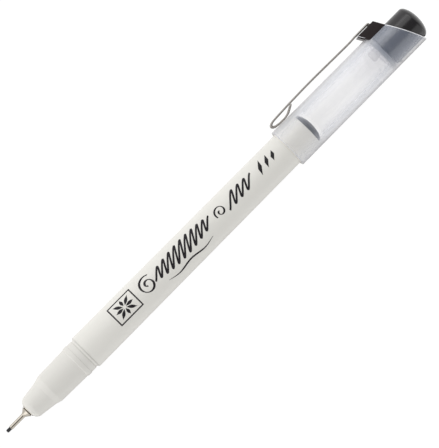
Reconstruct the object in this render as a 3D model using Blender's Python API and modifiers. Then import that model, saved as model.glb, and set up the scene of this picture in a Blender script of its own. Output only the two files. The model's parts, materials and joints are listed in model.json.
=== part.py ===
"""Calligraphy marker with its cap posted on the back of the barrel.

Metres, +Z up. The pen lies on the floor along X with its nib at -X. The origin is the middle of
its footprint. Lengths below are in millimetres: a radius from the pen's axis, or a station along
it, counted from the tip of the nib. Each turned piece is drawn in the pen's own frame, where +Z
runs from the nib to the cap and +X points down at the floor.
"""

import math

import bmesh
import bpy
from mathutils import Vector

MM = 0.001

# Driving dimensions
LENGTH = 146.5
CAP_R = 5.58  # at its mouth
CAP_TOP_R = 5.45
BARREL_FRONT_R = 4.93
BARREL_REAR_R = 4.68
BARREL_BORE_R = 4.1
WIRE_R = 0.3

# Clearances
GAP = 0.3  # between pieces where nothing shows
SEAM = 0.1  # between pieces that meet at a joint line

# Stations along the pen
SLEEVE_FRONT = 1.3
FLARE_START = 5.8
NOSE_FRONT = 7.5
SLEEVE_REAR = 10.2
NOSE_SEAT = SLEEVE_REAR + GAP
BUSH_SEAT = 11.3
BUSH_REAR = 21.5
SHANK_REAR = 15.7
CONE_REAR = 13.6
SHOULDER = 15.2
RIDGE_FRONT = 24.3
RIDGE_REAR = 25.55
BARREL_FRONT = 28.1
SPIGOT_REAR = 35.0
RESERVOIR_FRONT = 36.0
RESERVOIR_REAR = 100.0
WICK_REAR = 40.0
PLUG_FRONT = 101.0
BARREL_REAR = 106.75
DOME_TOP = 108.55
CAP_MOUTH = 99.55
CAP_STEP = 109.1
BOSS_FRONT = 130.8
PARTITION = 133.0
SOCKET = 134.1
BEAD = 135.7
CUT_MIDDLE = 141.5
RIM = 144.5

# Radii. The nib's shank runs with 0.09 round it in the sleeve, which has no room for more.
SHANK_R = 0.45
SLEEVE_R = 0.69
SLEEVE_WALL = 0.15
FLARE_R = 1.83
NOSE_BORE_R = FLARE_R + SEAM
NOSE_R = 3.17
CONE_R = 3.8
GRIP_FRONT_R = 4.32
GRIP_REAR_R = 4.48
RIDGE_R = 4.67
NECK_R = 4.55
SPIGOT_R = BARREL_BORE_R - GAP
SPIGOT_BORE_R = 3.0
SEAT_BORE_R = 1.2
BUSH_R = 2.2
BUSH_BORE_R = 0.75
WICK_R = 1.2
RESERVOIR_R = 3.3
FILM_WALL = 0.2
DOME_R = 4.27
MOUTH_BORE_R = 4.9
CHAMBER_R = 4.37
CAP_PLUG_R = 4.65
BEAD_R = 5.0
BOSS_R = 1.4
BOSS_OFFSET = 1.08

# Clip block: a slanted block on the cap plug, and the wire clip that hooks into it
CUT_ANGLE = math.radians(27)
BLOCK_ANGLE = math.radians(29.3)
BLOCK_OUTER = 7.31
BLOCK_INNER = 4.4
BLOCK_NIB_END = 132.1
BLOCK_LENGTH = 5.45
BLOCK_HALF_WIDTH = 3.1
LEG_HALF_GAP = 2.4
LEG_STATION = 136.35
PIVOT_R = 6.9
STUB_END_R = 6.3
HOLE_R = WIRE_R + 0.15
HOLE_DEPTH = 1.3

# The block's lower corner touches the floor beside the cap, so the pen doesn't roll.
CORNER_R = math.hypot(BLOCK_OUTER, BLOCK_HALF_WIDTH)
CORNER_ANGLE = math.atan2(BLOCK_HALF_WIDTH, BLOCK_OUTER)
CLIP_DROP = math.asin(CAP_R / CORNER_R) - CORNER_ANGLE
AXIS_Y = -1.4  # the clip reaches further out at +Y than the cap does at -Y

STEPS = 48
SMALL_STEPS = 24


def clear_scene():
    for obj in list(bpy.data.objects):
        bpy.data.objects.remove(obj)


def new_collection(name):
    collection = bpy.data.collections.new(name)
    bpy.context.scene.collection.children.link(collection)
    return collection


def make_material(name, colour, roughness, metallic=0.0, alpha=1.0):
    mat = bpy.data.materials.new(name)
    mat.use_nodes = True
    shader = mat.node_tree.nodes["Principled BSDF"]
    shader.inputs["Base Color"].default_value = (*colour, 1)
    shader.inputs["Roughness"].default_value = roughness
    shader.inputs["Metallic"].default_value = metallic
    shader.inputs["Alpha"].default_value = alpha
    return mat


def make_empty(name, parent, location, rotation):
    empty = bpy.data.objects.new(name, None)
    parts.objects.link(empty)
    empty.parent = parent
    empty.location = [value * MM for value in location]
    empty.rotation_euler = rotation
    return empty


def add_object(name, data, parent, collection):
    obj = bpy.data.objects.new(name, data)
    collection.objects.link(obj)
    obj.parent = parent
    return obj


def turned(name, profile, mat, steps=STEPS, closed=True):
    """A profile of (radius, station) turned about the pen's axis. A closed one is a ring."""
    count = len(profile)
    edges = [(i, i + 1) for i in range(count - 1)]
    if closed:
        edges.append((count - 1, 0))
    mesh = bpy.data.meshes.new(name)
    mesh.from_pydata([(r * MM, 0, u * MM) for r, u in profile], edges, [])
    obj = add_object(name, mesh, pen_axis, parts)
    mesh.materials.append(mat)
    screw = obj.modifiers.new("Turn", "SCREW")
    screw.axis = "Z"
    screw.angle = math.tau
    screw.steps = steps
    screw.render_steps = steps
    screw.use_merge_vertices = True
    screw.merge_threshold = 0.000001
    screw.use_smooth_shade = True
    return obj


def ellipse(r_centre, u_centre, r_half, u_half, start, end, count):
    """Points along part of an ellipse, from one angle to another, in degrees."""
    points = []
    for i in range(count + 1):
        angle = math.radians(start + (end - start) * i / count)
        r = r_centre + r_half * math.cos(angle)
        points.append((r, u_centre + u_half * math.sin(angle)))
    return points


def boolean(obj, cutter, operation="DIFFERENCE"):
    mod = obj.modifiers.new(cutter.name, "BOOLEAN")
    mod.operation = operation
    mod.object = cutter
    mod.solver = "EXACT"


def as_cutter(obj):
    obj.hide_render = True
    obj.display_type = "WIRE"
    return obj


def box_cutter(name, parent, centre, size, tilt=0.0):
    """A box as a cutter, tilted about the parent's Y axis."""
    bm = bmesh.new()
    bmesh.ops.create_cube(bm, size=1)
    bmesh.ops.scale(bm, vec=Vector(size) * MM, verts=bm.verts)
    mesh = bpy.data.meshes.new(name)
    bm.to_mesh(mesh)
    bm.free()
    obj = add_object(name, mesh, parent, cutters)
    obj.location = Vector(centre) * MM
    obj.rotation_euler = (0, tilt, 0)
    return as_cutter(obj)


def rod_cutter(name, radius, length, centre, tilt=0.0):
    """A round rod as a cutter, along the pen unless it is tilted about the clip's hinge line."""
    bm = bmesh.new()
    bmesh.ops.create_cone(
        bm,
        cap_ends=True,
        segments=SMALL_STEPS if radius > 1 else SMALL_STEPS // 2,
        radius1=radius * MM,
        radius2=radius * MM,
        depth=length * MM,
    )
    mesh = bpy.data.meshes.new(name)
    bm.to_mesh(mesh)
    bm.free()
    obj = add_object(name, mesh, clip_frame, cutters)
    obj.location = Vector(centre) * MM
    obj.rotation_euler = (0, tilt, 0)
    return as_cutter(obj)


def prism(name, outline, half_width, collection):
    """An outline of (radius, station) in the clip's plane, with some width across it."""
    curve = bpy.data.curves.new(name, "CURVE")
    curve.dimensions = "2D"
    curve.fill_mode = "BOTH"
    curve.extrude = half_width * MM
    spline = curve.splines.new("POLY")
    spline.points.add(len(outline) - 1)
    for point, (r, u) in zip(spline.points, outline):
        point.co = (r * MM, u * MM, 0, 1)
    spline.use_cyclic_u = True
    source = add_object(name, curve, clip_frame, collection)
    source.rotation_euler = (math.radians(90), 0, 0)
    bpy.context.view_layer.update()
    evaluated = source.evaluated_get(bpy.context.evaluated_depsgraph_get())
    mesh = bpy.data.meshes.new_from_object(evaluated)
    bm = bmesh.new()
    bm.from_mesh(mesh)
    bmesh.ops.remove_doubles(bm, verts=bm.verts, dist=0.000001)
    bmesh.ops.recalc_face_normals(bm, faces=bm.faces)
    bm.to_mesh(mesh)
    bm.free()
    obj = add_object(name, mesh, None, collection)
    obj.matrix_world = source.matrix_world
    bpy.data.objects.remove(source)
    obj.name = name
    return obj


def block_outline(margin, outer, rear):
    """The clip block's side view. Its two ends slope a little more than the cap's oblique cut."""
    slope = math.tan(BLOCK_ANGLE)

    def station(r, end):
        return end + (BLOCK_OUTER - r) * slope

    inner = BLOCK_INNER - margin
    front = BLOCK_NIB_END - margin
    return [
        (inner, station(inner, front)),
        (outer, station(outer, front)),
        (outer, station(outer, rear)),
        (inner, station(inner, rear)),
    ]


def smooth_path(points, per_span):
    """A Catmull-Rom curve through the points."""
    ends = [points[0] * 2 - points[1], *points, points[-1] * 2 - points[-2]]
    path = []
    for a, b, c, d in zip(ends, ends[1:], ends[2:], ends[3:]):
        for i in range(per_span):
            t = i / per_span
            bend = (b * 3 - a - c * 3 + d) * t + (a * 2 - b * 5 + c * 4 - d)
            path.append(b + ((c - a) + bend * t) * t / 2)
    path.append(points[-1])
    return path


def make_barrel():
    edge = 0.25
    profile = [
        (BARREL_REAR_R - edge, BARREL_REAR),
        (BARREL_REAR_R, BARREL_REAR - edge),
        (BARREL_FRONT_R, BARREL_FRONT + edge),
        (BARREL_FRONT_R - edge, BARREL_FRONT),
        (BARREL_BORE_R, BARREL_FRONT),
        (BARREL_BORE_R, BARREL_REAR),
    ]
    turned("barrel", profile, plastic("barrel_plastic", 0.8))


def make_grip_section():
    neck_rear = BARREL_FRONT - SEAM
    nose_depth = 1.4
    bore_widens = 24.0
    ease = 0.15
    profile = [
        (SPIGOT_R - GAP, SPIGOT_REAR),
        (SPIGOT_R, SPIGOT_REAR - GAP),
        (SPIGOT_R, neck_rear),
        (NECK_R, neck_rear),
        (NECK_R, RIDGE_REAR + SEAM),
        (RIDGE_R, RIDGE_REAR - SEAM),
        (RIDGE_R, RIDGE_FRONT + SEAM),
        (GRIP_REAR_R, RIDGE_FRONT - SEAM),
        (GRIP_FRONT_R, SHOULDER),
        (CONE_R + ease / 3, CONE_REAR + ease),
        (CONE_R, CONE_REAR - ease),
    ]
    nose_r = NOSE_R - NOSE_BORE_R
    profile += ellipse(NOSE_BORE_R, NOSE_FRONT + nose_depth, nose_r, nose_depth, 0, -90, 5)
    profile += [
        (NOSE_BORE_R, NOSE_SEAT),
        (SEAT_BORE_R, NOSE_SEAT),
        (SEAT_BORE_R, BUSH_SEAT),
        (BUSH_R + GAP, BUSH_SEAT),
        (BUSH_R + GAP, BUSH_REAR + GAP),
        (SPIGOT_BORE_R, bore_widens),
        (SPIGOT_BORE_R, SPIGOT_REAR),
    ]
    turned("grip_section", profile, plastic("grip_plastic", 0.78))


def make_nib_sleeve():
    """A thin steel tube that flares like a trumpet into the nose."""
    rear_r = FLARE_R - SLEEVE_WALL
    flare_power = 1.15
    outer = [(FLARE_R, SLEEVE_REAR), (FLARE_R, NOSE_FRONT + SEAM)]
    inner = [(rear_r, SLEEVE_REAR), (rear_r, NOSE_FRONT + GAP)]
    spans = 5
    for i in range(1, spans + 1):
        share = 1 - i / spans
        u = FLARE_START + (NOSE_FRONT - FLARE_START) * share
        r = SLEEVE_R + (FLARE_R - SLEEVE_R) * share**flare_power
        outer.append((r, u))
        inner.append((r - SLEEVE_WALL, u + SEAM))
    outer.append((SLEEVE_R, SLEEVE_FRONT))
    inner.append((SLEEVE_R - SLEEVE_WALL, SLEEVE_FRONT))
    steel = make_material("sleeve_steel", (0.58, 0.55, 0.5), 0.25, 1.0)
    turned("nib_sleeve", outer + inner[::-1], steel, SMALL_STEPS)


def make_nib():
    """A rod ground to a chisel: two sloping flats meet near its tip."""
    black = make_material("nib_black", (0.015, 0.015, 0.018), 0.5)
    edge = 0.06
    profile = [(0, SHANK_REAR), (SHANK_R, SHANK_REAR), (SHANK_R, edge), (SHANK_R - edge, 0), (0, 0)]
    nib = turned("nib", profile, black, SMALL_STEPS, closed=False)
    slope = math.radians(10)
    cutter_size = (2, 3, 5)
    cutter_offset = 1.18
    for side in (-1, 1):
        name = "nib_flat_a" if side < 0 else "nib_flat_b"
        centre = (side * cutter_offset, 0, 0)
        cutter = box_cutter(name, nib_frame, centre, cutter_size, side * slope)
        boolean(nib, cutter)


def make_nib_bush():
    wick_bore_r = WICK_R + GAP
    profile = [
        (BUSH_R, BUSH_REAR),
        (BUSH_R, BUSH_SEAT + GAP),
        (BUSH_BORE_R, BUSH_SEAT + GAP),
        (BUSH_BORE_R, SHANK_REAR + SEAM),
        (wick_bore_r, SHANK_REAR + SEAM),
        (wick_bore_r, BUSH_REAR),
    ]
    turned("nib_bush", profile, plastic("bush_plastic", 0.7), SMALL_STEPS)


def make_relay_wick():
    felt = make_material("wick_felt", (0.03, 0.03, 0.035), 0.95)
    front = SHANK_REAR + GAP
    profile = [(0, WICK_REAR), (WICK_R, WICK_REAR), (WICK_R, front), (0, front)]
    turned("relay_wick", profile, felt, SMALL_STEPS, closed=False)


def make_ink_reservoir():
    fibre = make_material("reservoir_fibre", (0.05, 0.05, 0.06), 0.9)
    bore_r = WICK_R + GAP
    profile = [
        (0, RESERVOIR_REAR),
        (RESERVOIR_R, RESERVOIR_REAR),
        (RESERVOIR_R, RESERVOIR_FRONT),
        (bore_r, RESERVOIR_FRONT),
        (bore_r, WICK_REAR + GAP),
        (0, WICK_REAR + GAP),
    ]
    turned("ink_reservoir", profile, fibre, SMALL_STEPS, closed=False)


def make_reservoir_film():
    film = make_material("film_plastic", (0.75, 0.77, 0.8), 0.3, alpha=0.5)
    inner_r = RESERVOIR_R + SEAM
    outer_r = inner_r + FILM_WALL
    ends = (RESERVOIR_REAR, RESERVOIR_FRONT)
    profile = [(outer_r, ends[0]), (outer_r, ends[1]), (inner_r, ends[1]), (inner_r, ends[0])]
    turned("reservoir_film", profile, film, SMALL_STEPS)


def make_tail_plug():
    """A hollow plug in the back of the barrel, with a shallow round dome."""
    flange = BARREL_REAR + SEAM
    hollow_r = 3.0
    hollow_rear = BARREL_REAR - 0.8
    dome = ellipse(0, flange, DOME_R, DOME_TOP - flange, 90, 0, 6)
    profile = dome + [
        (SPIGOT_R, flange),
        (SPIGOT_R, PLUG_FRONT + GAP),
        (SPIGOT_R - GAP, PLUG_FRONT),
        (hollow_r, PLUG_FRONT),
        (hollow_r, hollow_rear),
        (0, hollow_rear),
    ]
    dark = make_material("tail_plastic", (0.03, 0.032, 0.038), 0.4)
    turned("tail_plug", profile, dark, closed=False)


def make_cap_tube():
    """A frosted tube, cut obliquely at its top and slotted for the block. Its partition has the
    boss of the moulding gate on it, and its socket has a groove for the plug's bead."""
    chamfer = 0.35
    bore_r = CAP_PLUG_R + SEAM
    groove_r = BEAD_R + SEAM
    groove_floor, groove_mouth = 0.2, 0.4  # halves of the groove's widths
    profile = [
        (0, SOCKET),
        (bore_r, SOCKET),
        (bore_r, BEAD - groove_mouth),
        (groove_r, BEAD - groove_floor),
        (groove_r, BEAD + groove_floor),
        (bore_r, BEAD + groove_mouth),
        (bore_r, LENGTH),
        (CAP_TOP_R, LENGTH),
        (CAP_R, CAP_MOUTH + chamfer),
        (CAP_R - chamfer, CAP_MOUTH),
        (MOUTH_BORE_R, CAP_MOUTH),
        (MOUTH_BORE_R, CAP_STEP - chamfer),
        (CHAMBER_R, CAP_STEP),
        (CHAMBER_R, PARTITION),
        (0, PARTITION),
    ]
    frosted = make_material("cap_frosted", (0.8, 0.8, 0.82), 0.4, alpha=0.5)
    tube = turned("cap_tube", profile, frosted, closed=False)
    long, wide, lift = 30, 20, 10
    middle = (lift * math.sin(CUT_ANGLE), 0, CUT_MIDDLE + lift * math.cos(CUT_ANGLE))
    oblique = box_cutter("oblique_cut", clip_frame, middle, (long, wide, 2 * lift), CUT_ANGLE)
    boolean(tube, oblique)
    outline = block_outline(SEAM, BLOCK_OUTER + 1, LENGTH)
    slot = as_cutter(prism("block_slot", outline, BLOCK_HALF_WIDTH + SEAM, cutters))
    boolean(tube, slot)
    height = PARTITION + GAP - BOSS_FRONT
    boss = rod_cutter("gate_boss", BOSS_R, height, (BOSS_OFFSET, 0, BOSS_FRONT + height / 2))
    boolean(tube, boss, "UNION")


def make_cap_plug():
    """A cored black plug that snaps in by a bead, with the clip block on its side and two holes
    for the wire."""
    black = make_material("plug_black", (0.02, 0.018, 0.018), 0.3)
    front = SOCKET + GAP
    cored_r = 3.4
    cored_rear = RIM - 1.2
    bead_crest, bead_foot = 0.1, 0.3  # halves of the bead's widths
    dome = ellipse(0, RIM, CAP_PLUG_R, LENGTH - RIM, 90, 0, 8)
    profile = dome + [
        (CAP_PLUG_R, BEAD + bead_foot),
        (BEAD_R, BEAD + bead_crest),
        (BEAD_R, BEAD - bead_crest),
        (CAP_PLUG_R, BEAD - bead_foot),
        (CAP_PLUG_R, front + GAP),
        (CAP_PLUG_R - GAP, front),
        (cored_r, front),
        (cored_r, cored_rear),
        (0, cored_rear),
    ]
    plug = turned("cap_plug", profile, black, closed=False)
    outline = block_outline(0, BLOCK_OUTER, BLOCK_NIB_END + BLOCK_LENGTH)
    block = as_cutter(prism("clip_block", outline, BLOCK_HALF_WIDTH, cutters))
    boolean(plug, block, "UNION")
    for name, side in (("hole_a", -1), ("hole_b", 1)):
        mouth = (BLOCK_OUTER, side * LEG_HALF_GAP, LEG_STATION)
        boolean(plug, rod_cutter(name, HOLE_R, 2 * HOLE_DEPTH, mouth, math.radians(90)))


def leg_route():
    """One leg of the wire in the clip's plane, as (radius, station), from block to return bow."""
    clearance = 0.05
    on_block = BLOCK_OUTER + WIRE_R + clearance
    return [
        (STUB_END_R, LEG_STATION),
        (7.1, LEG_STATION),
        (on_block - 0.06, LEG_STATION - 0.12),
        (on_block, LEG_STATION - 0.7),
        (on_block, 134.6),
        (on_block, 131.8),
        (7.74, 124.0),
        (7.76, 116.0),
        (7.66, 109.0),
        (7.46, 103.4),
        (7.28, 101.7),
        (6.76, 100.95),
        (6.16, 101.4),
        (5.88, 102.6),
        (5.82, 103.6),
        (5.83, 104.8),
        (5.95, 105.6),
    ]


def make_wire_clip():
    """Two legs from the block, bent back on themselves and joined by a half-round bow."""
    arms = [Vector((r, LEG_HALF_GAP, u)) for r, u in leg_route()]
    centre = Vector((6.1, 0, 106.2))
    rise = math.radians(26.7)
    reach = Vector((math.sin(rise), 0, math.cos(rise))) * LEG_HALF_GAP
    bow = []
    spans = 12
    for i in range(spans + 1):
        angle = math.pi * i / spans
        across = Vector((0, LEG_HALF_GAP * math.cos(angle), 0))
        bow.append(centre + reach * math.sin(angle) + across)
    leg = smooth_path(arms + bow[:1], 3)[:-1]
    other = [Vector((p.x, -p.y, p.z)) for p in reversed(leg)]
    pivot = Vector((PIVOT_R, 0, LEG_STATION))
    curve = bpy.data.curves.new("wire_clip", "CURVE")
    curve.dimensions = "3D"
    curve.bevel_depth = WIRE_R * MM
    curve.bevel_resolution = 2
    curve.use_fill_caps = True
    spline = curve.splines.new("POLY")
    path = leg + bow + other
    spline.points.add(len(path) - 1)
    for point, place in zip(spline.points, path):
        point.co = (*((place - pivot) * MM), 1)
    curve.materials.append(make_material("clip_steel", (0.5, 0.46, 0.42), 0.3, 1.0))
    add_object("wire_clip", curve, clip_pivot, parts)


def plastic(name, value):
    """The pen's light warm-grey moulded plastic."""
    return make_material(name, (value, value, value * 0.96), 0.45)


clear_scene()
parts = new_collection("calligraphy_marker")
cutters = new_collection("cutters")
quarter = math.radians(90)
start = (-LENGTH / 2, AXIS_Y, CAP_R)
pen_axis = make_empty("pen_axis", None, start, (0, quarter, 0))
clip_frame = make_empty("clip_frame", pen_axis, (0, 0, 0), (0, 0, quarter - CLIP_DROP))
clip_pivot = make_empty("clip_pivot", clip_frame, (PIVOT_R, 0, LEG_STATION), (0, 0, 0))
nib_frame = make_empty("nib_frame", pen_axis, (0, 0, 0), (0, 0, -CLIP_DROP))

make_barrel()
make_grip_section()
make_nib_sleeve()
make_nib()
make_nib_bush()
make_relay_wick()
make_ink_reservoir()
make_reservoir_film()
make_tail_plug()
make_cap_tube()
make_cap_plug()
make_wire_clip()
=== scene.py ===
"""Looks for the calligraphy marker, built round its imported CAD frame.

Each shown piece is drawn in the pen's own frame: +X towards the clip, +Y out of the top and +Z
from the nib to the cap, with lengths in millimetres. A radius is counted from the pen's axis and
a station along it, from the tip of the nib. The finished mesh is in metres, in the CAD's frame.
"""

import json
import math

import bmesh
import bpy
from mathutils import Matrix, Vector


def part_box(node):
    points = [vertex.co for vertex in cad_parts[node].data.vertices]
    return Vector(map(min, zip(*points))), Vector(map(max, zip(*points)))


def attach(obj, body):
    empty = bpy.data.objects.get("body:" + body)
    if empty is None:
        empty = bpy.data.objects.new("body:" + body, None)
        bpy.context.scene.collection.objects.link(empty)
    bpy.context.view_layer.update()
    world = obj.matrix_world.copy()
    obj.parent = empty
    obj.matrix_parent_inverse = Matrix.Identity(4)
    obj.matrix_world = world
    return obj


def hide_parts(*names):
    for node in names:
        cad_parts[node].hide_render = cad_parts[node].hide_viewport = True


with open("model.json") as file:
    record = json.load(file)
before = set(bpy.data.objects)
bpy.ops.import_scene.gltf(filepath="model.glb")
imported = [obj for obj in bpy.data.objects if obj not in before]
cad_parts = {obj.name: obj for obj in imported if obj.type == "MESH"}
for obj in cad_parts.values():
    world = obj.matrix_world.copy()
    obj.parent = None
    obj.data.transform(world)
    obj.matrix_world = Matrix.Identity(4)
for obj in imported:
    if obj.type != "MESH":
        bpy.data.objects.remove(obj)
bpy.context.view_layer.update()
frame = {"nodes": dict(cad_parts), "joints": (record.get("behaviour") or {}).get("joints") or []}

MM = 0.001

# The pen's own frame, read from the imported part
cap_low, cap_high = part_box("cap_tube")
CAP_R = (cap_high.z - cap_low.z) / 2 / MM
NIB_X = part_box("nib")[0].x
AXIS = Vector((NIB_X, cap_low.y + CAP_R * MM, cap_low.z + CAP_R * MM))
ALONG = Vector((1, 0, 0))
joints = {joint["name"]: joint for joint in frame["joints"]}
OUT_OF_TOP = -Vector(joints["clip_lift"]["axis"]).normalized()
TO_CLIP = OUT_OF_TOP.cross(ALONG)
PEN = Matrix((TO_CLIP, OUT_OF_TOP, ALONG)).transposed().to_4x4()
PEN.translation = AXIS


def station(node, end):
    """The station in millimetres of a node's nib end (0) or cap end (1)."""
    return (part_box(node)[end].x - NIB_X) / MM


def radius(node):
    low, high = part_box(node)
    return (high.z - low.z) / 2 / MM


LENGTH = station("cap_plug", 1)
BARREL_FRONT = station("barrel", 0)
BARREL_REAR = station("barrel", 1)
SPIGOT_REAR = station("grip_section", 1)
CAP_MOUTH = station("cap_tube", 0)
SLEEVE_FRONT = station("nib_sleeve", 0)
NOSE_FRONT = station("grip_section", 0)
CAP_STEP = 109.1
BOSS_FRONT = 130.8
PARTITION = 133.0
SOCKET = 134.1
BEAD = 135.7
CUT_MIDDLE = 141.5
RIM = 144.5

# Radii
BARREL_FRONT_R = radius("barrel")
BARREL_REAR_R = 4.68
BARREL_BORE_R = 4.1
SPIGOT_R = 3.8
SPIGOT_BORE_R = 3.0
SHANK_R = 0.45
CAP_TOP_R = 5.45
CAP_PLUG_R = 4.65
PLUG_BORE_R = 3.4
CHAMBER_R = 4.37
MOUTH_BORE_R = 4.9
BEAD_R = 5.0
BOSS_R = 1.4
BOSS_OFFSET = 1.08

# The oblique cut and the clip block. The block's lip, and the pale strip across its nib end that
# is a painted highlight of that edge, are given as their lowest and highest radius and their front
# and rear, counted from the block's nib end.
CUT_ANGLE = math.radians(27)
BLOCK_ANGLE = math.radians(29.3)
BLOCK_OUTER = 7.31
BLOCK_INNER = 4.4
BLOCK_NIB_END = 132.1
BLOCK_LENGTH = 5.45
BLOCK_HALF_WIDTH = 3.1
BLOCK_LIP = (5.5, 7.1, -0.36, 0.05)
BLOCK_HIGHLIGHT_STRIP = (5.65, 7.25, 0.0, 0.17)

# The wire clip
LEG_HALF_GAP = 2.4
LEG_STATION = 136.35
WIRE_R = 0.26

# Mesh steps round the axis
STEPS = 160
FINE_STEPS = 96
COARSE_STEPS = 48


# ---------------------------------------------------------------- profiles and meshes


def outline(corners, closed=True, arc=5):
    """Rounds the corners (radius, station, rounding) of a profile. Short straight runs beside
    each rounding keep the long faces flat when the mesh is shaded smooth."""
    points = []
    count = len(corners)
    run_on = 1.5  # where a short straight run ends, as a share of the rounding's reach
    for i, (r, u, rounding) in enumerate(corners):
        here = Vector((r, u))
        at_end = not closed and i in (0, count - 1)
        if at_end or rounding == 0:
            points.append(here)
            continue
        before = Vector(corners[i - 1][:2]) - here
        after = Vector(corners[(i + 1) % count][:2]) - here
        half = before.angle(after) / 2
        room = 0.45 * min(before.length, after.length)
        reach = min(rounding / math.tan(half), room)
        size = reach * math.tan(half)
        before.normalize()
        after.normalize()
        centre = here + (before + after).normalized() * (size / math.sin(half))
        start = here + before * reach - centre
        turn = math.atan2(start.x * after.y - start.y * after.x, start.dot(after))
        sweep = math.copysign(math.pi - 2 * half, turn)
        if reach * run_on < room:
            points.append(here + before * reach * run_on)
        for k in range(arc + 1):
            angle = sweep * k / arc
            cos, sin = math.cos(angle), math.sin(angle)
            turned = Vector((start.x * cos - start.y * sin, start.x * sin + start.y * cos))
            points.append(centre + turned)
        if reach * run_on < room:
            points.append(here + after * reach * run_on)
    return points


def ellipse(u_centre, r_half, u_half, start, end, count):
    """Profile points (radius, station) on part of an ellipse round the axis."""
    points = []
    for i in range(count + 1):
        angle = math.radians(start + (end - start) * i / count)
        points.append(Vector((r_half * math.cos(angle), u_centre + u_half * math.sin(angle))))
    return points


def linked(obj):
    bpy.context.scene.collection.objects.link(obj)
    return obj


def to_object(bm, name, *materials, place=Matrix()):
    """Makes an object of a mesh drawn in the pen's frame, after placing it there."""
    bmesh.ops.transform(bm, matrix=PEN @ place, verts=bm.verts)
    bmesh.ops.recalc_face_normals(bm, faces=bm.faces)
    mesh = bpy.data.meshes.new(name)
    bm.to_mesh(mesh)
    bm.free()
    for mat in materials:
        mesh.materials.append(mat)
    mesh.shade_smooth()
    return linked(bpy.data.objects.new(name, mesh))


def lathe_mesh(points, closed=True, steps=STEPS, unit=MM):
    """A profile turned about the axis. An open profile starts on the axis."""
    bm = bmesh.new()
    verts = [bm.verts.new((p[0] * unit, 0, p[1] * unit)) for p in points]
    edges = [bm.edges.new(pair) for pair in zip(verts, verts[1:])]
    if closed:
        edges.append(bm.edges.new((verts[-1], verts[0])))
    bmesh.ops.spin(
        bm,
        geom=verts + edges,
        cent=(0, 0, 0),
        axis=(0, 0, 1),
        angle=math.tau,
        steps=steps,
        use_merge=True,
    )
    bmesh.ops.remove_doubles(bm, verts=bm.verts, dist=1e-4 * unit)
    return bm


def boolean(obj, other, operation="DIFFERENCE"):
    """Cuts or joins with another object, which is then removed."""
    mod = obj.modifiers.new("cut", "BOOLEAN")
    mod.operation = operation
    mod.object = other
    mod.solver = "EXACT"
    bpy.context.view_layer.update()
    evaluated = obj.evaluated_get(bpy.context.evaluated_depsgraph_get())
    mesh = bpy.data.meshes.new_from_object(evaluated)
    obj.modifiers.clear()
    obj.data = mesh
    bpy.data.objects.remove(other)


def smooth_by_angle(obj, degrees):
    obj.data.shade_smooth()
    obj.data.set_sharp_from_angle(angle=math.radians(degrees))


def prism(name, points, half_width, rounding, *materials):
    """A side view of (radius, station) points in the clip's plane, made into a rounded block."""
    bm = bmesh.new()
    near = [bm.verts.new((r * MM, -half_width * MM, u * MM)) for r, u in points]
    face = bm.faces.new(near)
    grown = bmesh.ops.extrude_face_region(bm, geom=[face])["geom"]
    moved = [item for item in grown if isinstance(item, bmesh.types.BMVert)]
    bmesh.ops.translate(bm, verts=moved, vec=(0, 2 * half_width * MM, 0))
    if rounding:
        bmesh.ops.bevel(
            bm,
            geom=bm.edges[:],
            offset=rounding * MM,
            segments=4,
            profile=0.5,
            affect="EDGES",
        )
    return to_object(bm, name, *materials)


# ---------------------------------------------------------------- materials


class Nodes:
    """A material's node tree, with short calls for the nodes used here."""

    def __init__(self, name):
        self.mat = bpy.data.materials.new(name)
        self.mat.use_nodes = True
        self.tree = self.mat.node_tree
        self.shader = self.tree.nodes["Principled BSDF"]
        self.out = self.tree.nodes["Material Output"]

    def set(self, **values):
        for name, value in values.items():
            self.shader.inputs[name.replace("_", " ")].default_value = value

    def link(self, source, target):
        self.tree.links.new(source, target)

    def coordinates(self, stretch=(1, 1, 1)):
        place = self.tree.nodes.new("ShaderNodeTexCoord")
        mapping = self.tree.nodes.new("ShaderNodeMapping")
        mapping.inputs["Scale"].default_value = stretch
        self.link(place.outputs["Object"], mapping.inputs["Vector"])
        return mapping.outputs["Vector"]

    def noise(self, scale, detail=3.0, rough=0.5, stretch=(1, 1, 1)):
        node = self.tree.nodes.new("ShaderNodeTexNoise")
        node.inputs["Scale"].default_value = scale
        node.inputs["Detail"].default_value = detail
        node.inputs["Roughness"].default_value = rough
        self.link(self.coordinates(stretch), node.inputs["Vector"])
        return node.outputs["Fac"]

    def ramp(self, value, low, high, from_low=0.3, from_high=0.7):
        """Maps a value onto a range of numbers."""
        node = self.tree.nodes.new("ShaderNodeMapRange")
        node.inputs["From Min"].default_value = from_low
        node.inputs["From Max"].default_value = from_high
        node.inputs["To Min"].default_value = low
        node.inputs["To Max"].default_value = high
        self.link(value, node.inputs["Value"])
        return node.outputs["Result"]

    def mix(self, value, low, high):
        """Mixes two colours by a value from 0 to 1."""
        node = self.tree.nodes.new("ShaderNodeMix")
        node.data_type = "RGBA"
        node.inputs[6].default_value = (*low, 1)
        node.inputs[7].default_value = (*high, 1)
        self.link(value, node.inputs["Factor"])
        return node.outputs[2]

    def bump(self, height, strength, distance):
        node = self.tree.nodes.new("ShaderNodeBump")
        node.inputs["Strength"].default_value = strength
        node.inputs["Distance"].default_value = distance * MM
        self.link(height, node.inputs["Height"])
        self.link(node.outputs["Normal"], self.shader.inputs["Normal"])


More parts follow.
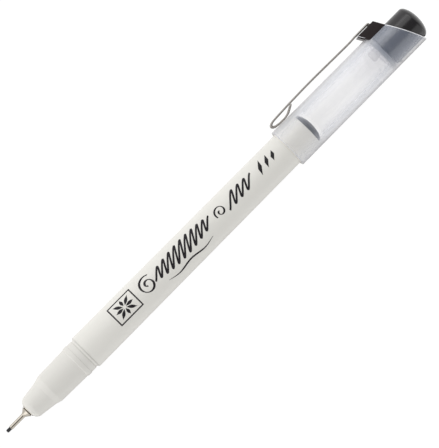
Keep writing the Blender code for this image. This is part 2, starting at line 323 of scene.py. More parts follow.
def moulded_plastic(name, light, dark, roughness, grain=0.02, sheen=0.5):
    """Opaque moulded plastic: faint flow clouds, a fine mould grain and an uneven gloss. The
    grain is its depth in millimetres."""
    nodes = Nodes(name)
    clouds = nodes.ramp(nodes.noise(90, 4, stretch=(0.3, 1, 1)), 0, 1)
    nodes.link(nodes.mix(clouds, dark, light), nodes.shader.inputs["Base Color"])
    gloss = nodes.noise(700, 3)
    rough = nodes.ramp(gloss, roughness - 0.05, roughness + 0.05)
    nodes.link(rough, nodes.shader.inputs["Roughness"])
    nodes.bump(nodes.noise(5200, 2), 0.25, grain)
    nodes.set(IOR=1.49, Specular_IOR_Level=sheen)
    return nodes.mat


def steel(name, colour, roughness, stretch, scratched):
    """Drawn or turned steel with fine scratches that run the way it was worked."""
    nodes = Nodes(name)
    scratches = nodes.noise(1500, 4, 0.7, stretch)
    low = tuple(value * 0.82 for value in colour)
    shade = nodes.mix(nodes.ramp(scratches, 0, 1), low, colour)
    nodes.link(shade, nodes.shader.inputs["Base Color"])
    rough = nodes.ramp(scratches, roughness - 0.06, roughness + 0.08)
    nodes.link(rough, nodes.shader.inputs["Roughness"])
    nodes.bump(scratches, scratched, 0.01)
    nodes.set(Metallic=1.0)
    return nodes.mat


def fibre(name, light, dark, stretch):
    """Bonded fibres soaked with ink."""
    nodes = Nodes(name)
    strands = nodes.noise(2600, 5, 0.7, stretch)
    shade = nodes.mix(nodes.ramp(strands, 0, 1), dark, light)
    nodes.link(shade, nodes.shader.inputs["Base Color"])
    nodes.link(nodes.ramp(strands, 0.75, 0.95), nodes.shader.inputs["Roughness"])
    nodes.bump(strands, 0.6, 0.05)
    return nodes.mat


def printed_ink():
    """Black pad-printed ink: nearly flat, a little mottled where the coat is thin."""
    nodes = Nodes("printed_ink")
    mottle = nodes.ramp(nodes.noise(2200, 4), 0, 1)
    shade = nodes.mix(mottle, (0.006, 0.005, 0.007), (0.011, 0.009, 0.012))
    nodes.link(shade, nodes.shader.inputs["Base Color"])
    nodes.link(nodes.ramp(mottle, 0.5, 0.62, 0, 1), nodes.shader.inputs["Roughness"])
    nodes.bump(mottle, 0.1, 0.01)
    nodes.set(Specular_IOR_Level=0.25)
    return nodes.mat


def frosted_plastic(name, front, side, veil, skin, thicker=0.0):
    """See-through milky plastic. Its milkiness is bluish and thin face on, and turns darker and
    dense where the wall is seen edge on, that darkening being painted shade. A glossy skin lies
    over it, and what comes through is faintly warm. veil and skin are the shares of milk and
    gloss, face on and edge on, and thicker is what the veil gains on the way to the partition."""
    thickens_from = 123
    gloss_roughness = 0.25
    gloss_sharpness = 5.0
    nodes = Nodes(name)
    tree = nodes.tree
    facing = tree.nodes.new("ShaderNodeLayerWeight")
    facing.inputs["Blend"].default_value = 0.5
    turned_away = nodes.ramp(facing.outputs["Facing"], 0, 1, 0.05, 0.6)
    clouds = nodes.ramp(nodes.noise(160, 4, stretch=(0.4, 1, 1)), 0, 1)
    # The edge-on colour is darker than the face-on one: painted shade.
    cloudy = [nodes.mix(clouds, tuple(0.95 * v for v in shade), shade) for shade in (front, side)]
    blend = tree.nodes.new("ShaderNodeMix")
    blend.data_type = "RGBA"
    nodes.link(turned_away, blend.inputs["Factor"])
    nodes.link(cloudy[0], blend.inputs[6])
    nodes.link(cloudy[1], blend.inputs[7])
    nodes.link(blend.outputs[2], nodes.shader.inputs["Base Color"])
    nodes.bump(nodes.noise(4200, 3), 0.15, 0.01)
    nodes.set(Roughness=0.6, IOR=1.49)
    clear = tree.nodes.new("ShaderNodeBsdfTransparent")
    clear.inputs["Color"].default_value = (0.99, 0.984, 0.974, 1)
    body = tree.nodes.new("ShaderNodeMixShader")
    place = tree.nodes.new("ShaderNodeSeparateXYZ")
    nodes.link(nodes.coordinates(), place.inputs["Vector"])
    start, end = (NIB_X + u * MM for u in (thickens_from, PARTITION))
    gain = tree.nodes.new("ShaderNodeMath")
    nodes.link(nodes.ramp(turned_away, *veil, 0, 1), gain.inputs[0])
    nodes.link(nodes.ramp(place.outputs["X"], 0, thicker, start, end), gain.inputs[1])
    nodes.link(gain.outputs["Value"], body.inputs["Fac"])
    nodes.link(clear.outputs["BSDF"], body.inputs[1])
    nodes.link(nodes.shader.outputs["BSDF"], body.inputs[2])
    gloss = tree.nodes.new("ShaderNodeBsdfGlossy")
    gloss.inputs["Color"].default_value = (1, 1, 1, 1)
    rough = nodes.ramp(nodes.noise(900, 3), gloss_roughness - 0.04, gloss_roughness + 0.04)
    nodes.link(rough, gloss.inputs["Roughness"])
    steep = tree.nodes.new("ShaderNodeMath")
    steep.operation = "POWER"
    steep.inputs[1].default_value = gloss_sharpness
    nodes.link(facing.outputs["Facing"], steep.inputs[0])
    whole = tree.nodes.new("ShaderNodeMixShader")
    nodes.link(nodes.ramp(steep.outputs["Value"], *skin, 0, 1), whole.inputs["Fac"])
    nodes.link(body.outputs["Shader"], whole.inputs[1])
    nodes.link(gloss.outputs["BSDF"], whole.inputs[2])
    nodes.link(whole.outputs["Shader"], nodes.out.inputs["Surface"])
    return nodes.mat


def clear_film():
    """Thin plastic film round the ink reservoir."""
    nodes = Nodes("film_plastic")
    creases = nodes.noise(700, 4, stretch=(0.1, 1, 1))
    nodes.link(
        nodes.mix(nodes.ramp(creases, 0, 1), (0.7, 0.72, 0.75), (0.8, 0.82, 0.85)),
        nodes.shader.inputs["Base Color"],
    )
    nodes.link(nodes.ramp(creases, 0.1, 0.25), nodes.shader.inputs["Roughness"])
    nodes.set(Alpha=0.4)
    nodes.bump(creases, 0.3, 0.03)
    return nodes.mat


# ---------------------------------------------------------------- the pen's own pieces


def barrel_radius(u):
    """The barrel's outer radius at a station: it tapers evenly from front to rear."""
    share = (u - BARREL_FRONT) / (BARREL_REAR - BARREL_FRONT)
    return BARREL_FRONT_R + (BARREL_REAR_R - BARREL_FRONT_R) * share


def make_barrel(mat):
    corners = [
        (BARREL_REAR_R, BARREL_REAR, 0.2),
        (BARREL_FRONT_R, BARREL_FRONT, 0.02),
        (BARREL_BORE_R, BARREL_FRONT, 0.06),
        (BARREL_BORE_R, BARREL_REAR, 0.06),
    ]
    return to_object(lathe_mesh(outline(corners)), "barrel_shell", mat)


def make_grip(mat):
    """Nose cone, shoulder, grip, ridge and neck, with the spigot inside the barrel."""
    neck_rear = BARREL_FRONT - 0.01
    neck_r, groove_r, groove_front, groove_rear = 4.55, 4.4, 27.3, 27.5
    ridge_r, ridge_front, ridge_rear = 4.67, 24.4, 25.48
    grip_rear_r, grip_front_r, shoulder = 4.48, 4.32, 15.2
    cone_r, cone_rear = 3.8, 13.6
    nose_r, nose_rear, nose_steps, nose_power = 3.22, 9.4, 12, 1.3
    sleeve_bore_r, sleeve_seat = 1.93, 10.5
    shank_bore_r, bush_bore_r, bush_seat, bush_rear = 1.2, 2.5, 11.3, 21.8
    corners = [
        (SPIGOT_R, SPIGOT_REAR, 0.25),
        (SPIGOT_R, neck_rear, 0.05),
        (BARREL_FRONT_R - 0.01, neck_rear, 0),
        (groove_r, groove_rear, 0.06),
        (groove_r, groove_front, 0.06),
        (neck_r, groove_front - 0.25, 0.12),
        (neck_r, ridge_rear + 0.14, 0.15),
        (ridge_r, ridge_rear, 0.1),
        (ridge_r, ridge_front, 0.1),
        (grip_rear_r, ridge_front - 0.2, 0.12),
        (grip_front_r, shoulder, 0.5),
        (cone_r, cone_rear, 0.5),
        (nose_r, nose_rear, 0),
    ]
    for i in range(1, nose_steps + 1):
        angle = math.pi / 2 * i / nose_steps
        share = max(0, math.cos(angle)) ** nose_power
        r = sleeve_bore_r + (nose_r - sleeve_bore_r) * share
        corners.append((r, nose_rear - (nose_rear - NOSE_FRONT) * math.sin(angle), 0))
    corners += [
        (sleeve_bore_r, sleeve_seat, 0.05),
        (shank_bore_r, sleeve_seat, 0.05),
        (shank_bore_r, bush_seat, 0.05),
        (bush_bore_r, bush_seat, 0.05),
        (bush_bore_r, bush_rear, 0.3),
        (SPIGOT_BORE_R, bush_rear + 2.2, 0.3),
        (SPIGOT_BORE_R, SPIGOT_REAR, 0.1),
    ]
    return to_object(lathe_mesh(outline(corners)), "grip_body", mat)


def make_sleeve(mat, groove_shade_mat):
    """A drawn steel tube whose trumpet flare ends in a rolled lip, with a groove behind it
    where it goes into the nose. The groove's faces take a dark colour, painted shade."""
    wall = 0.12
    rear = station("nib_sleeve", 1)
    tube_r, tube_rear = 0.58, 5.6
    edge = 0.02  # how far the tube's front edge is eased
    flare_r = radius("nib_sleeve")
    flare_front, flare_rear, flare_power, flare_steps = 5.75, 7.3, 1.15, 16
    groove, groove_length, groove_r = 7.06, 0.22, flare_r - 0.5
    outer = [
        (flare_r, rear),
        (flare_r, NOSE_FRONT),
        (flare_r - 0.03, groove + 0.32),
        (flare_r - 0.1, groove + groove_length),
        (groove_r, groove + groove_length - 0.02),
        (groove_r, groove + 0.02),
    ]
    inner = [(groove_r - wall, rear), (groove_r - wall, NOSE_FRONT)]
    for i in range(flare_steps + 1):
        share = (groove - flare_front) / (flare_rear - flare_front) * (1 - i / flare_steps)
        u = flare_front + (flare_rear - flare_front) * share
        r = tube_r + (flare_r - 0.05 - tube_r) * share**flare_power
        outer.append((r, u))
        inner.append((min(r, groove_r) - wall, u + 0.1))
    outer += [
        (tube_r, tube_rear),
        (tube_r, SLEEVE_FRONT + 4 * edge),
        (tube_r - edge, SLEEVE_FRONT + edge),
        (tube_r - 3 * edge, SLEEVE_FRONT),
    ]
    inner += [(tube_r - wall, tube_rear + 0.1), (tube_r - wall, SLEEVE_FRONT)]
    bm = lathe_mesh(outer + inner[::-1], steps=FINE_STEPS)
    sleeve = to_object(bm, "nib_sleeve_tube", mat, groove_shade_mat)
    into_pen = PEN.inverted()
    # Faces in the groove take the second material, a dark colour painted as the groove's shade.
    for face in sleeve.data.polygons:
        centre = into_pen @ face.center / MM
        out = math.hypot(centre.x, centre.y)
        in_groove = groove < centre.z < groove + groove_length + 0.02
        if in_groove and out > groove_r - 0.01:
            face.material_index = 1
    return sleeve


def make_nib(mat):
    """A rod ground to a chisel, its edges worn a little round."""
    corners = [
        (0, station("nib", 1), 0),
        (SHANK_R, station("nib", 1), 0.05),
        (SHANK_R, 0, 0.1),
        (0, 0, 0),
    ]
    bm = lathe_mesh(outline(corners, closed=False), False, COARSE_STEPS)
    nib = to_object(bm, "chisel_nib", mat)
    slope = math.radians(10)  # of each of the chisel's two faces
    cutter = Vector((3, 2, 5)) * MM
    cutter_offset = 1.18 * MM
    for side in (-1, 1):
        bm = bmesh.new()
        bmesh.ops.create_cube(bm, size=1)
        bmesh.ops.scale(bm, vec=cutter, verts=bm.verts)
        tilt = Matrix.Rotation(-side * slope, 4, "X")
        place = Matrix.Translation((0, side * cutter_offset, 0)) @ tilt
        boolean(nib, to_object(bm, "grind", place=place))
    smooth_by_angle(nib, 35)
    return nib


def make_tail_plug(mat):
    """A dome on a spigot, cored out from the front."""
    flange = BARREL_REAR + 0.1
    dome_r = radius("tail_plug")
    front = station("tail_plug", 0)
    cored_rear = BARREL_REAR - 0.8
    dome = ellipse(flange, dome_r, station("tail_plug", 1) - flange, 90, 4, 20)
    corners = [
        (dome_r, flange, 0),
        (SPIGOT_R, flange, 0.05),
        (SPIGOT_R, front, 0.25),
        (SPIGOT_BORE_R, front, 0.1),
        (SPIGOT_BORE_R, cored_rear, 0.2),
        (0, cored_rear, 0),
    ]
    rest = outline(corners, closed=False)
    return to_object(lathe_mesh(dome + rest, False), "tail_dome", mat)


# ---------------------------------------------------------------- the cap's pieces


def shear_rim(bm):
    """Slopes the top of the cap tube into its oblique cut, low on the clip's side."""
    start = (BEAD + CUT_MIDDLE) / 2
    slope = math.tan(CUT_ANGLE)
    for vert in bm.verts:
        height = vert.co.z / MM
        if height > start:
            vert.co.z -= vert.co.x * slope


def block_points(margin, outer, rear):
    """The side view of the clip block, a parallelogram, as (radius, station)."""
    slope = math.tan(BLOCK_ANGLE)

    def along(r, end):
        return end + (BLOCK_OUTER - r) * slope

    inner = BLOCK_INNER - margin
    front = BLOCK_NIB_END - margin
    return [
        (inner, along(inner, front)),
        (outer, along(outer, front)),
        (outer, along(outer, rear)),
        (inner, along(inner, rear)),
    ]


def make_cap_tube(mats):
    """The frosted tube. Its materials are for the outside, the outside round the plug (darker, as
    painted shade), the two open bores, the cut rim (paler, as a painted highlight), the partition
    (dusky, as painted shade) and the chamber's bore (darker, as painted shade)."""
    bore = CAP_PLUG_R + 0.1
    groove = BEAD_R + 0.03
    groove_floor, groove_mouth = 0.14, 0.3  # half its width at the floor and at the mouth
    corners = [
        (0, SOCKET, 0),
        (bore, SOCKET, 0.15),
        (bore, BEAD - groove_mouth, 0.03),
        (groove, BEAD - groove_floor, 0.03),
        (groove, BEAD + groove_floor, 0.03),
        (bore, BEAD + groove_mouth, 0.03),
        (bore, CUT_MIDDLE, 0.08),
        (CAP_TOP_R, CUT_MIDDLE, 0.16),
        (CAP_TOP_R + 0.03, SOCKET, 0),
        (CAP_TOP_R + 0.035, PARTITION, 0),
        (CAP_R, CAP_MOUTH, 0.4),
        (MOUTH_BORE_R, CAP_MOUTH, 0.12),
        (MOUTH_BORE_R, CAP_STEP - 0.3, 0.1),
        (CHAMBER_R, CAP_STEP, 0.1),
        (CHAMBER_R, PARTITION, 0.3),
        (0, PARTITION, 0),
    ]
    bm = lathe_mesh(outline(corners, closed=False), False)
    shear_rim(bm)
    tube = to_object(bm, "cap_shell", *mats)
    clearance = 0.1
    slot = block_points(clearance, BLOCK_OUTER + 1, LENGTH)
    boolean(tube, prism("slot", slot, BLOCK_HALF_WIDTH + clearance, 0))
    root = PARTITION + 0.4
    boss = [(0, BOSS_FRONT, 0), (BOSS_R, BOSS_FRONT, 0.5), (BOSS_R, root, 0), (0, root, 0)]
    bm = lathe_mesh(outline(boss, False), False, COARSE_STEPS)
    place = Matrix.Translation((BOSS_OFFSET * MM, 0, 0))
    boolean(tube, to_object(bm, "gate_boss", mats[0], place=place), "UNION")
    outside, round_plug, bores, rim_highlight, partition, chamber = range(len(mats))
    into_pen = PEN.inverted()
    cut_normal = Vector((math.sin(CUT_ANGLE), 0, math.cos(CUT_ANGLE)))
    for face in tube.data.polygons:
        centre = into_pen @ face.center / MM
        normal = into_pen.to_3x3() @ face.normal
        out = math.hypot(centre.x, centre.y)
        beyond_cut = (centre - Vector((0, 0, CUT_MIDDLE))).dot(cut_normal)
        # Faces within 0.3 mm of the cut take the rim's paler, denser milk: partly the cut face's
        # own scatter, partly a painted highlight on its rounded edge.
        if beyond_cut > -0.3:
            face.material_index = rim_highlight
        # The partition's faces, and the outside wall over it, take a dusky copy of the milk:
        # painted shade.
        elif abs(normal.z) > 0.7 and PARTITION - 0.1 < centre.z < SOCKET + 0.1:
            face.material_index = partition
        elif out < CAP_TOP_R - 0.2:
            face.material_index = chamber if CAP_STEP < centre.z < PARTITION else bores
        elif centre.z > SOCKET:
            face.material_index = round_plug
        else:
            face.material_index = partition if centre.z > PARTITION else outside
    smooth_by_angle(tube, 40)
    tube.visible_shadow = False
    return tube


def block_plate(name, low, high, front, rear, wider, *materials):
    """A plate across the block, as slanted as its nib end, between two radii and between two
    distances behind that end."""
    slope = math.tan(BLOCK_ANGLE)
    ends = [(low, front), (high, front), (high, rear), (low, rear)]
    points = [(r, BLOCK_NIB_END + u + (BLOCK_OUTER - r) * slope) for r, u in ends]
    return prism(name, points, BLOCK_HALF_WIDTH + wider, 0, *materials)


def make_cap_plug(gloss, matt):
    """The polished plug, with the duller clip block moulded on its side. The block has a thin lip
    at its nib end, a slit behind it for a pale strip that is a painted highlight of that edge,
    and two holes for the wire's legs."""
    plug_front = SOCKET + 0.3
    cored_rear = RIM - 1.2
    bead_crest, bead_foot = 0.1, 0.3  # half its width at the crest and at the foot
    corners = [
        (CAP_PLUG_R, RIM, 0),
        (CAP_PLUG_R, BEAD + bead_foot, 0.1),
        (BEAD_R, BEAD + bead_crest, 0.05),
        (BEAD_R, BEAD - bead_crest, 0.05),
        (CAP_PLUG_R, BEAD - bead_foot, 0.1),
        (CAP_PLUG_R, plug_front, 0.3),
        (PLUG_BORE_R, plug_front, 0.1),
        (PLUG_BORE_R, cored_rear, 0.4),
        (0, cored_rear, 0),
    ]
    dome = ellipse(RIM, CAP_PLUG_R, LENGTH - RIM, 90, 3, 24)
    points = dome + outline(corners, closed=False)
    plug = to_object(lathe_mesh(points, False), "cap_plug_body", gloss, matt)
    side_view = block_points(0, BLOCK_OUTER, BLOCK_NIB_END + BLOCK_LENGTH)
    block = prism("block", side_view, BLOCK_HALF_WIDTH, 0.07, gloss, matt)
    boolean(block, block_plate("lip", *BLOCK_LIP, 0, matt), "UNION")
    low, high, front, rear = BLOCK_HIGHLIGHT_STRIP
    slit = (low - 0.01, high + 1, front - 0.01, rear + 0.01)
    boolean(block, block_plate("highlight_strip_slit", *slit, 0.1))
    for face in block.data.polygons:
        face.material_index = 1
    boolean(plug, block, "UNION")
    hole_r, hole_depth = 0.45, 1.3
    hole = [(0, -hole_depth), (hole_r, -hole_depth), (hole_r, hole_depth), (0, hole_depth)]
    for side in (-1, 1):
        mouth = Vector((BLOCK_OUTER, side * LEG_HALF_GAP, LEG_STATION)) * MM
        place = Matrix.Translation(mouth) @ Matrix.Rotation(math.pi / 2, 4, "Y")
        boolean(plug, to_object(lathe_mesh(hole, False, 24), "hole", matt, place=place))
    smooth_by_angle(plug, 35)
    return plug


def smooth_path(points, per_span):
    """A Catmull-Rom curve through the points."""
    ends = [points[0] * 2 - points[1], *points, points[-1] * 2 - points[-2]]
    path = []
    for a, b, c, d in zip(ends, ends[1:], ends[2:], ends[3:]):
        for i in range(per_span):
            t = i / per_span
            bend = (b * 3 - a - c * 3 + d) * t + (a * 2 - b * 5 + c * 4 - d)
            path.append(b + ((c - a) + bend * t) * t / 2)
    path.append(points[-1])
    return path


def leg_route():
    """One leg of the wire in side view, as (radius, station), from the block to the return bow."""
    on_block = BLOCK_OUTER + 0.42
    return [
        (6.3, LEG_STATION),
        (7.1, LEG_STATION),
        (on_block - 0.06, LEG_STATION - 0.12),
        (on_block, LEG_STATION - 0.7),
        (on_block, 134.6),
        (on_block - 0.02, 131.8),
        (7.6, 129.4),
        (7.66, 124.0),
        (7.76, 116.0),
        (7.66, 109.0),
        (7.46, 103.4),
        (7.28, 101.7),
        (6.76, 100.95),
        (6.16, 101.4),
        (5.88, 102.6),
        (5.82, 103.6),
        (5.83, 104.8),
        (5.95, 105.6),
    ]


def make_wire(mat):
    """Two legs out of the block, joined by a half-round bow that tips away from the barrel."""
    arms = [Vector((r, LEG_HALF_GAP, u)) for r, u in leg_route()]
    centre = Vector((6.1, 0, 106.2))
    reach = Vector((0.449, 0, 0.893)) * LEG_HALF_GAP
    bow_steps = 32
    bow = []
    for i in range(bow_steps + 1):
        angle = math.pi * i / bow_steps
        across = Vector((0, LEG_HALF_GAP * math.cos(angle), 0))
        bow.append(centre + reach * math.sin(angle) + across)
    leg = smooth_path(arms + bow[:1], 8)[:-1]
    other = [Vector((p.x, -p.y, p.z)) for p in reversed(leg)]
    path = leg + bow + other
    curve = bpy.data.curves.new("clip_wire", "CURVE")
    curve.dimensions = "3D"
    curve.bevel_depth = WIRE_R * MM
    curve.bevel_resolution = 6
    curve.use_fill_caps = True
    spline = curve.splines.new("POLY")
    spline.points.add(len(path) - 1)
    for point, place in zip(spline.points, path):
        point.co = (*(PEN @ (place * MM)), 1)
    spline.use_smooth = True
    curve.materials.append(mat)
    return linked(bpy.data.objects.new("clip_wire", curve))


# ---------------------------------------------------------------- the printed ornament


INK = 0.012  # how far the ink stands proud of the barrel
INK_ROOT = -0.01  # how deep its sides start in the barrel
LEAN = math.radians(48)  # the slope of the ornament's broad strokes
NIB_EDGE = LEAN + math.pi / 2
SWELL_FLOOR = 0.06  # the least share of its width that a pointed shape keeps at its ends


def wrap(u, v, height):
    """A point of the unrolled barrel, v millimetres from its top line towards the clip."""
    r = barrel_radius(u) + height
    angle = v / barrel_radius(u)
    return Vector((r * math.sin(angle), r * math.cos(angle), u)) * MM


def ribbon(bm, path, sides):
    """A closed strip of ink along (u, v) points, with the vector to its edge at each."""
    spans = 4  # across, so that it follows the barrel's curve
    rows = []
    for point, side in zip(path, sides):
        near, far = point + side, point - side
        top = [wrap(*near.lerp(far, k / spans), INK) for k in range(spans + 1)]
        ring = [wrap(*near, INK_ROOT), *top, wrap(*far, INK_ROOT)]
        rows.append([bm.verts.new(place) for place in ring])
    for near, far in zip(rows, rows[1:]):
        count = len(near)
        for k in range(count):
            bm.faces.new((near[k], near[(k + 1) % count], far[(k + 1) % count], far[k]))
    bm.faces.new(rows[0])
    bm.faces.new(rows[-1][::-1])


def stroke(bm, path, width, thin=0.14, taper=0.0):
    """A broad-edged pen's stroke, whose two ends thin out over a share of its length."""
    edge = Vector((math.cos(NIB_EDGE), math.sin(NIB_EDGE)))
    flat = Vector((-edge.y, edge.x))
    last = len(path) - 1
    sides = []
    for i in range(last + 1):
        way = (path[min(i + 1, last)] - path[max(i - 1, 0)]).normalized()
        side = Vector((-way.y, way.x))
        half = math.hypot(width / 2 * side.dot(edge), thin / 2 * side.dot(flat))
        if taper:
            half *= min(1.0, 0.15 + min(i, last - i) / (last * taper))
        sides.append(side * half)
    ribbon(bm, path, sides)


def leaf(bm, start, end, width):
    """A slim pointed leaf from one (u, v) point to another."""
    way = (end - start).normalized()
    side = Vector((-way.y, way.x)) * width / 2
    count = 16
    path, sides = [], []
    for i in range(count + 1):
        path.append(start.lerp(end, i / count))
        sides.append(side * max(SWELL_FLOOR, math.sin(math.pi * i / count) ** 1.3))
    ribbon(bm, path, sides)


def drawn_curve(*points):
    return smooth_path([Vector(point) for point in points], 12)


def frame_line(bm, low, high, width):
    """A rectangular frame, as one flat ribbon with an open middle."""
    (u0, v0), (u1, v1) = low, high
    count = 14
    lines = []
    for inset in (0, width):
        corners = [
            (u0 + inset, v0 + inset),
            (u1 - inset, v0 + inset),
            (u1 - inset, v1 - inset),
            (u0 + inset, v1 - inset),
        ]
        line = []
        for (ua, va), (ub, vb) in zip(corners, corners[1:] + corners[:1]):
            for i in range(count):
                share = i / count
                line.append((ua + (ub - ua) * share, va + (vb - va) * share))
        lines.append(line)
    outside, inside = lines
    rings = []
    for line, height in ((outside, INK_ROOT), (outside, INK), (inside, INK), (inside, INK_ROOT)):
        rings.append([bm.verts.new(wrap(*point, height)) for point in line])
    for a, b in zip(rings, rings[1:] + rings[:1]):
        for i in range(len(a)):
            j = (i + 1) % len(a)
            bm.faces.new((a[i], a[j], b[j], b[i]))


def lozenge(bm, u, v, width, height, lean=0.0):
    """A diamond, drawn as a strip round the barrel that widens and narrows."""
    count = 12
    path = []
    sides = []
    for i in range(count + 1):
        y = i / count * 2 - 1
        path.append(Vector((u + lean * y * height / 2, v + y * height / 2)))
        sides.append(Vector((width / 2 * max(SWELL_FLOOR, 1 - abs(y)), 0)))
    ribbon(bm, path, sides)


def running_wave(u0, u1, turns, middle, height, swell):
    """A run of leaning strokes joined by hairlines, whose height swells with the share run."""
    steps_per_turn = 36
    path = []
    count = int(turns * steps_per_turn)
    for i in range(count + 1):
        share = i / count
        angle = (turns * share - 0.25) * math.tau
        v = height * swell(share) * math.sin(angle)
        u = u0 + (u1 - u0) * share + v / math.tan(LEAN) * 0.8
        path.append(Vector((u, middle + v)))
    return path


def volute(u, v, r, turns, start, way):
    """A spiral that winds inwards to a small core."""
    steps_per_turn = 30
    path = []
    count = int(turns * steps_per_turn)
    for i in range(count + 1):
        share = i / count
        angle = start + way * math.tau * turns * share
        size = r * (1 - share) ** 0.8 + 0.12 * r
        path.append(Vector((u + size * math.cos(angle), v + size * math.sin(angle))))
    return path


def make_print(mat):
    """A printed ornament in broad-nib strokes: a framed flower, a running wave between volutes
    with a low ripple under it, a shorter wave, and three lozenges."""
    bm = bmesh.new()
    frame_line(bm, (38.9, -1.95), (46.7, 4.05), 0.36)
    flower = Vector((42.8, 1.05))
    petals = 8
    for k in range(petals):
        angle = math.tau * k / petals
        way = Vector((math.cos(angle) * 1.25, math.sin(angle)))
        reach = 2.85 if k % 2 else 2.3
        leaf(bm, flower + way * 0.35, flower + way * reach, 0.85)
    fine = 0.2
    broad = 0.52
    stroke(bm, volute(50.9, 0.9, 2.3, 1.5, 0.9, 1), 0.62, 0.24)
    wave = running_wave(53.7, 72.8, 9.5, 1.2, 1.75, lambda s: 0.7 + 0.6 * math.sin(s * math.pi))
    stroke(bm, wave, broad, fine)
    stroke(bm, volute(76.6, 0.9, 1.55, 1.3, 3.6, -1), 0.5, fine)
    ripple = drawn_curve((55.4, -2.2), (58.8, -2.9), (63.2, -2.3), (67.6, -2.9), (71.0, -2.2))
    stroke(bm, ripple, 0.5, 0.42, 0.4)
    short_wave = running_wave(79.9, 87.6, 3.5, 1.2, 1.9, lambda s: 1.0 - 0.25 * s)
    stroke(bm, short_wave, broad, fine)
    for u, height in ((91.4, 3.8), (93.7, 3.2), (95.8, 2.6)):
        lozenge(bm, u, 1.6, 1.25, height, 0.45)
    return to_object(bm, "barrel_ornament", mat)


# ---------------------------------------------------------------- stage


FLOOR_GLOW = 0.98
WORLD_LIGHT = 0.25


def stage_object(bm, name, mat):
    mesh = bpy.data.meshes.new(name)
    bm.to_mesh(mesh)
    bm.free()
    mesh.shade_smooth()
    mesh.materials.append(mat)
    obj = linked(bpy.data.objects.new(name, mesh))
    return obj


def make_floor():
    """A wide white sheet whose edge sweeps up all round, softly lit through. It lies low enough
    to leave the lifted clip in view."""
    flat, sweep, drop = 2.0, 1.0, 0.006
    profile = [(0, -drop), (flat, -drop)]
    for angle in (0.3, 0.6, 0.9, 1.2, 1.5):
        profile.append((flat + sweep * math.sin(angle), sweep * (1 - math.cos(angle)) - drop))
    nodes = Nodes("floor_paper")
    mottle = nodes.ramp(nodes.noise(30, 3), 0, 1)
    shade = nodes.mix(mottle, (0.05, 0.05, 0.05), (0.06, 0.06, 0.06))
    nodes.link(shade, nodes.shader.inputs["Base Color"])
    nodes.set(Roughness=0.9, Emission_Color=(1, 1, 1, 1), Emission_Strength=FLOOR_GLOW)
    stage_object(lathe_mesh(profile, False, 64, 1), "floor", nodes.mat)


def make_flag():
    """A black card beyond the pen, level with its lowest point and out of the camera's sight.
    It stands in for the contact shadow beside the pen, as painted shade, and the pen's edge on
    that side is drawn by its reflection."""
    near, far, height = 6 * MM, 24 * MM, 0.2 * MM
    bm = bmesh.new()
    for u, out in ((0, near), (LENGTH, near), (LENGTH, far), (0, far)):
        bm.verts.new((NIB_X + u * MM, AXIS.y - out, height))
    bm.faces.new(bm.verts[:])
    card = moulded_plastic("flag_black", (0.02, 0.02, 0.02), (0.015, 0.015, 0.015), 0.9)
    flag = stage_object(bm, "flag", card)
    flag.visible_camera = False
    flag.visible_shadow = False


def make_world():
    world = bpy.data.worlds.new("studio")
    world.use_nodes = True
    background = world.node_tree.nodes["Background"]
    background.inputs["Color"].default_value = (1, 1, 1, 1)
    background.inputs["Strength"].default_value = WORLD_LIGHT
    bpy.context.scene.world = world


def make_softbox(name, side, start, end, length, radiance):
    """A soft box beside the pen. It fills the directions between two angles, counted in degrees
    from straight out of the pen's top towards a side."""
    distance = 0.9
    middle = math.radians(start + end) / 2
    back = OUT_OF_TOP * math.cos(middle) + side * math.sin(middle)
    edge = OUT_OF_TOP.cross(side)
    lamp = bpy.data.lights.new(name, "AREA")
    lamp.shape = "RECTANGLE"
    lamp.size = length
    lamp.size_y = 2 * distance * math.tan(math.radians(end - start) / 2)
    lamp.energy = radiance * math.pi * lamp.size * lamp.size_y
    obj = linked(bpy.data.objects.new(name, lamp))
    pose = Matrix((edge, back.cross(edge), back)).transposed().to_4x4()
    pose.translation = AXIS + ALONG * LENGTH / 2 * MM + back * distance
    obj.matrix_world = pose
    obj.visible_camera = False


def make_camera():
    """A long lens looks down on the pen, square to its clip, with the cap end a little further
    off, and rolled so that the pen runs up from lower left to upper right."""
    distance = 1.05
    frame_height = 0.11243
    sensor = 36.0
    roll = math.radians(45.29)
    tilt = math.radians(2.3)
    aim_along, aim_aside = 0.0744, 0.00119
    aim = AXIS + ALONG * aim_along - TO_CLIP * aim_aside
    back = OUT_OF_TOP * math.cos(tilt) - ALONG * math.sin(tilt)
    along = ALONG * math.cos(tilt) + OUT_OF_TOP * math.sin(tilt)
    right = along * math.cos(roll) - TO_CLIP * math.sin(roll)
    up = back.cross(right)
    pose = Matrix((right, up, back)).transposed().to_4x4()
    pose.translation = aim + back * distance
    data = bpy.data.cameras.new("camera")
    data.sensor_width = sensor
    data.lens = sensor * distance / frame_height
    camera = linked(bpy.data.objects.new("camera", data))
    camera.matrix_world = pose
    bpy.context.scene.camera = camera


# ---------------------------------------------------------------- assembly

bpy.context.scene.view_settings.view_transform = "Standard"
make_camera()
make_floor()
make_flag()
make_world()
make_softbox("clip_side", TO_CLIP, 25, 68, 2.0, 1.48)
make_softbox("far_side", -TO_CLIP, 31, 105, 2.0, 0.9)
make_softbox("nib_side", -ALONG, 30, 89, 0.8, 1.12)

barrel_plastic = moulded_plastic(
    "barrel_plastic", (0.69, 0.678, 0.64), (0.675, 0.663, 0.625), 0.5, sheen=0.28
)
grip_plastic = moulded_plastic(
    "grip_plastic", (0.645, 0.633, 0.598), (0.627, 0.615, 0.582), 0.52, sheen=0.28
)
tail_black = moulded_plastic("tail_black", (0.02, 0.021, 0.025), (0.015, 0.015, 0.019), 0.35)
plug_black = moulded_plastic(
    "plug_black", (0.013, 0.0118, 0.013), (0.009, 0.008, 0.0092), 0.22, grain=0.005
)
block_black = moulded_plastic(
    "block_black", (0.02, 0.0145, 0.015), (0.015, 0.011, 0.012), 0.4, sheen=0.3
)
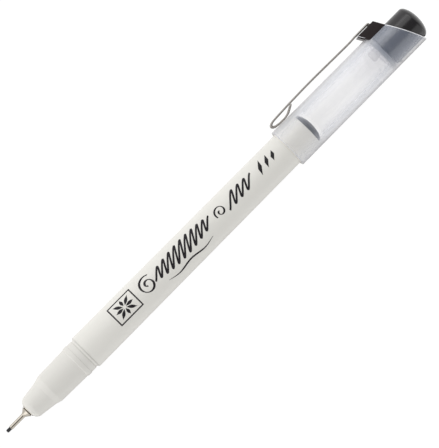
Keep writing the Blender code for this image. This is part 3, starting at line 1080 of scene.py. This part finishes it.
# Painted shade: the dark colour of the sleeve's groove.
sleeve_groove_shade = moulded_plastic(
    "sleeve_groove_shade", (0.035, 0.024, 0.018), (0.02, 0.014, 0.011), 0.8, sheen=0.2
)
# The second colour is the milk seen edge on, darkened as painted shade; the third is the
# partition's painted shade.
bluish, edge_shade_grey, partition_shade = (0.8, 0.85, 0.97), (0.52, 0.52, 0.54), (0.21, 0.235, 0.29)
cap_materials = [
    frosted_plastic("cap_frosted", bluish, edge_shade_grey, (0.15, 0.62), (0.015, 0.5)),
    # A darker copy of the milk over the black plug: painted shade.
    frosted_plastic("cap_socket_shaded", (0.62, 0.71, 0.92), edge_shade_grey, (0.16, 0.52), (0.06, 0.5)),
    frosted_plastic("cap_bore", bluish, edge_shade_grey, (0.0, 0.08), (0.0, 0.05)),
    # The rim's copy is paler and nearly opaque: partly the cut face's denser milk, partly a
    # painted highlight.
    frosted_plastic("cap_rim_highlight", (0.8, 0.8, 0.83), (0.8, 0.8, 0.83), (0.8, 0.85), (0.04, 0.6)),
    # A dusky copy for the partition and the wall over it: painted shade.
    frosted_plastic("cap_partition_shaded", partition_shade, edge_shade_grey, (0.72, 0.8), (0.02, 0.5)),
    # A darker copy for the chamber's bore: painted shade.
    frosted_plastic("cap_chamber_shaded", (0.5, 0.5, 0.525), edge_shade_grey, (0.14, 0.2), (0.0, 0.05), 0.2),
]
sleeve_steel = steel("sleeve_steel", (0.5, 0.46, 0.4), 0.16, (0.1, 1, 1), 0.04)
clip_steel = steel("clip_steel", (0.34, 0.32, 0.3), 0.22, (0.08, 1, 1), 0.1)
nib_black = fibre("nib_black", (0.03, 0.03, 0.033), (0.012, 0.012, 0.014), (0.2, 1, 1))


def show(piece, body, node):
    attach(piece, body)
    if node:
        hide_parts(node)


show(make_barrel(barrel_plastic), "pen", "barrel")
show(make_print(printed_ink()), "pen", None)
show(make_grip(grip_plastic), "pen", "grip_section")
show(make_sleeve(sleeve_steel, sleeve_groove_shade), "pen", "nib_sleeve")
show(make_nib(nib_black), "pen", "nib")
show(make_tail_plug(tail_black), "pen", "tail_plug")
show(make_cap_tube(cap_materials), "cap", "cap_tube")
show(make_cap_plug(plug_black, block_black), "cap", "cap_plug")
# Painted highlight: a pale plate of the rim's milk in the slit, for the light along the block's
# nib-end edge.
highlight_strip = block_plate("block_edge_highlight", *BLOCK_HIGHLIGHT_STRIP, 0.005, cap_materials[3])
show(highlight_strip, "cap", None)
show(make_wire(clip_steel), "clip", "wire_clip")

inner = {
    "nib_bush": moulded_plastic("bush_plastic", (0.7, 0.7, 0.67), (0.66, 0.66, 0.63), 0.5),
    "relay_wick": fibre("wick_felt", (0.06, 0.06, 0.07), (0.02, 0.02, 0.025), (0.1, 1, 1)),
    "ink_reservoir": fibre("reservoir_fibre", (0.08, 0.08, 0.1), (0.03, 0.03, 0.04), (0.1, 1, 1)),
    "reservoir_film": clear_film(),
}
for node, mat in inner.items():
    for slot in frame["nodes"][node].material_slots:
        slot.link = "OBJECT"
        slot.material = mat
